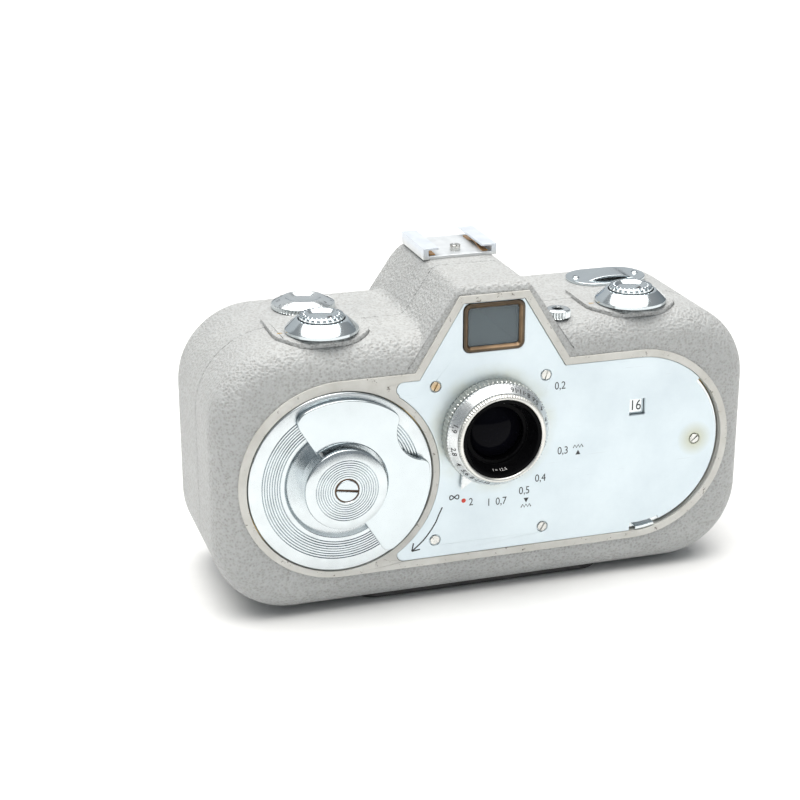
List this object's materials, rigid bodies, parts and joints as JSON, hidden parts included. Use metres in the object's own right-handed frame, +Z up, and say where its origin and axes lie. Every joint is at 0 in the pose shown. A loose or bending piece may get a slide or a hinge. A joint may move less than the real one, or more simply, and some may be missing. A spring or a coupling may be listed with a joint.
{
  "type": "cine camera",
  "caption": "Horizontal clockwork cine camera with a folding winding handle, focusing lens, eye-level finder, two top release knobs, hinged back and tripod socket.",
  "frame": {"origin": "centre of the tripod socket's mouth, on the underside of the base plate", "axes": "+X to the right seen from the front (towards the frame-rate dial), front and lens towards -Y, +Z up"},
  "size_m": [0.157, 0.0651, 0.0949],
  "materials": {
    "enamel": "fine crinkle-finish stove enamel, warm light grey",
    "bezel": "smooth satin lacquer, beige-grey, chipped at the edges",
    "plate": "satin brushed, fine scratches",
    "screw_steel": "nickelled, slightly yellowed slots",
    "base_paint": "dark grey crackle enamel",
    "brass": "turned brass",
    "chrome": "satin and polished chrome",
    "steel": "ground steel",
    "spring_steel": "blued spring steel",
    "spring_bronze": "phosphor bronze",
    "black_metal": "matt black",
    "finder_bronze": "blackened bronze, golden where worn",
    "glass": "clear, slightly blue-grey",
    "lens_glass": "uncoated, deep"
  },
  "bodies": {
    "camera": {"front_shell": "enamel", "rear_shell": "enamel", "front_bezel": "bezel", "front_plate": "plate", "plate_screws": "screw_steel", "base_plate": "base_paint", "base_screws": "screw_steel", "tripod_bush": "brass", "door_hinge_pin": "steel", "film_gate": "black_metal", "chassis_plate": "black_metal", "movement_bridge": "brass", "chassis_posts": "steel", "lens_mount": "steel", "finder_frame": "finder_bronze", "finder_glass": "glass", "finder_tunnel": "black_metal", "eyepiece": "black_metal", "eyepiece_glass": "glass", "accessory_shoe": "steel", "shoe_springs": "spring_bronze", "shoe_stop_screw": "screw_steel", "release_socket": "chrome", "strap_lug": "chrome"},
    "winder": {"winding_disc": "chrome", "winding_hub": "chrome", "hub_screw": "screw_steel", "handle_pins": "steel", "winding_arbor": "steel"},
    "handle": {"winding_handle": "chrome"},
    "pawl": {"click_pawl": "brass"},
    "barrel": {"spring_barrel": "brass", "mainspring": "spring_steel"},
    "intermediate": {"intermediate_gear": "brass"},
    "shutter": {"shutter_disc": "black_metal", "shutter_arbor": "brass"},
    "governor": {"governor": "brass"},
    "idler": {"idler_gear": "brass"},
    "takeup": {"takeup_gear": "brass", "takeup_spool": "black_metal"},
    "supply": {"supply_spindle": "steel"},
    "claw": {"claw": "steel"},
    "pressure_plate": {"pressure_plate": "black_metal"},
    "focus": {"focus_ring": "chrome", "focus_pointer": "chrome"},
    "lens_cell": {"lens_cell": "black_metal", "lens_rim": "chrome", "name_ring": "black_metal", "front_element": "lens_glass", "rear_element": "lens_glass", "iris_blades": "black_metal"},
    "aperture": {"aperture_ring": "chrome"},
    "speed_dial": {"speed_dial": "chrome"},
    "left_collar": {"left_collar": "chrome"},
    "right_collar": {"right_collar": "chrome"},
    "left_button": {"left_button": "chrome"},
    "right_button": {"right_button": "chrome"},
    "counter": {"counter_dial": "chrome"},
    "door": {"back_door": "enamel"},
    "latch": {"door_latch": "steel"}
  },
  "joints": [
    {"name": "winding_spin", "type": "hinge", "parent": "camera", "child": "winder", "pos_m": [-0.0435, -0.0265, 0.0395], "axis": [0, -1, 0], "continuous": true},
    {"name": "handle_fold", "type": "hinge", "parent": "winder", "child": "handle", "pos_m": [-0.0435, -0.0284, 0.0395], "axis": [0.5225, 0, -0.8526], "range_deg": [0, 90]},
    {"name": "pawl_tilt", "type": "hinge", "parent": "camera", "child": "pawl", "pos_m": [-0.0435, -0.0215, 0.053], "axis": [0, -1, 0], "range_deg": [0, 15]},
    {"name": "barrel_spin", "type": "hinge", "parent": "camera", "child": "barrel", "pos_m": [-0.0435, -0.0265, 0.0395], "axis": [0, -1, 0], "continuous": true},
    {"name": "intermediate_spin", "type": "hinge", "parent": "camera", "child": "intermediate", "pos_m": [-0.01752, -0.0265, 0.0245], "axis": [0, -1, 0], "continuous": true},
    {"name": "shutter_spin", "type": "hinge", "parent": "camera", "child": "shutter", "pos_m": [-0.00852, -0.0265, 0.04009], "axis": [0, -1, 0], "continuous": true},
    {"name": "governor_spin", "type": "hinge", "parent": "camera", "child": "governor", "pos_m": [-0.00972, -0.0265, 0.01099], "axis": [0, -1, 0], "continuous": true},
    {"name": "idler_spin", "type": "hinge", "parent": "camera", "child": "idler", "pos_m": [0.0083, -0.0265, 0.02999], "axis": [0, -1, 0], "continuous": true},
    {"name": "takeup_spin", "type": "hinge", "parent": "camera", "child": "takeup", "pos_m": [0.03647, -0.0265, 0.03598], "axis": [0, -1, 0], "continuous": true},
    {"name": "supply_spin", "type": "hinge", "parent": "camera", "child": "supply", "pos_m": [-0.03647, -0.0265, 0.03598], "axis": [0, -1, 0], "continuous": true},
    {"name": "claw_stroke", "type": "slide", "parent": "camera", "child": "claw", "axis": [0, 0, 1], "range_m": [-0.0019, 0.0019]},
    {"name": "pressure_plate_lift", "type": "slide", "parent": "camera", "child": "pressure_plate", "axis": [0, 1, 0], "range_m": [0, 0.0012], "stiffness_N_per_m": 150, "springref_m": -0.001},
    {"name": "focus_turn", "type": "hinge", "parent": "camera", "child": "focus", "pos_m": [0, -0.0265, 0.05], "axis": [0, -1, 0], "range_deg": [0, 148]},
    {"name": "lens_travel", "type": "slide", "parent": "camera", "child": "lens_cell", "axis": [0, -1, 0], "range_m": [0, 0.0012]},
    {"name": "aperture_turn", "type": "hinge", "parent": "lens_cell", "child": "aperture", "pos_m": [0, -0.0315, 0.05], "axis": [0, -1, 0], "range_deg": [0, 115]},
    {"name": "speed_turn", "type": "hinge", "parent": "camera", "child": "speed_dial", "pos_m": [0.0435, -0.0245, 0.04], "axis": [0, -1, 0], "range_deg": [0, 90]},
    {"name": "left_collar_turn", "type": "hinge", "parent": "camera", "child": "left_collar", "pos_m": [-0.0452, -0.0147, 0.081], "axis": [0, 0, 1], "range_deg": [-45, 45]},
    {"name": "right_collar_turn", "type": "hinge", "parent": "camera", "child": "right_collar", "pos_m": [0.0452, -0.0147, 0.081], "axis": [0, 0, 1], "range_deg": [-45, 45]},
    {"name": "left_button_press", "type": "slide", "parent": "camera", "child": "left_button", "axis": [0, 0, 1], "range_m": [-0.0014, 0], "stiffness_N_per_m": 400, "springref_m": 0.002},
    {"name": "right_button_press", "type": "slide", "parent": "camera", "child": "right_button", "axis": [0, 0, 1], "range_m": [-0.0014, 0], "stiffness_N_per_m": 400, "springref_m": 0.002},
    {"name": "counter_turn", "type": "hinge", "parent": "camera", "child": "counter", "pos_m": [-0.0438, 0.0108, 0.08], "axis": [0, 0, 1], "continuous": true},
    {"name": "door_swing", "type": "hinge", "parent": "camera", "child": "door", "pos_m": [-0.0663, 0.0284, 0.038], "axis": [0, 0, 1], "range_deg": [0, 100]},
    {"name": "latch_turn", "type": "hinge", "parent": "door", "child": "latch", "pos_m": [0.054, 0.0265, 0.038], "axis": [0, 1, 0], "range_deg": [0, 90]}
  ],
  "couplings": [
    {"joint": "intermediate_spin", "follows": "barrel_spin", "ratio": -4},
    {"joint": "shutter_spin", "follows": "barrel_spin", "ratio": 8},
    {"joint": "governor_spin", "follows": "barrel_spin", "ratio": 13.333},
    {"joint": "idler_spin", "follows": "barrel_spin", "ratio": 3.3333},
    {"joint": "takeup_spin", "follows": "barrel_spin", "ratio": -3.3333},
    {"joint": "lens_travel", "follows": "focus_turn", "m_per_rad": 0.0004645}
  ]
}
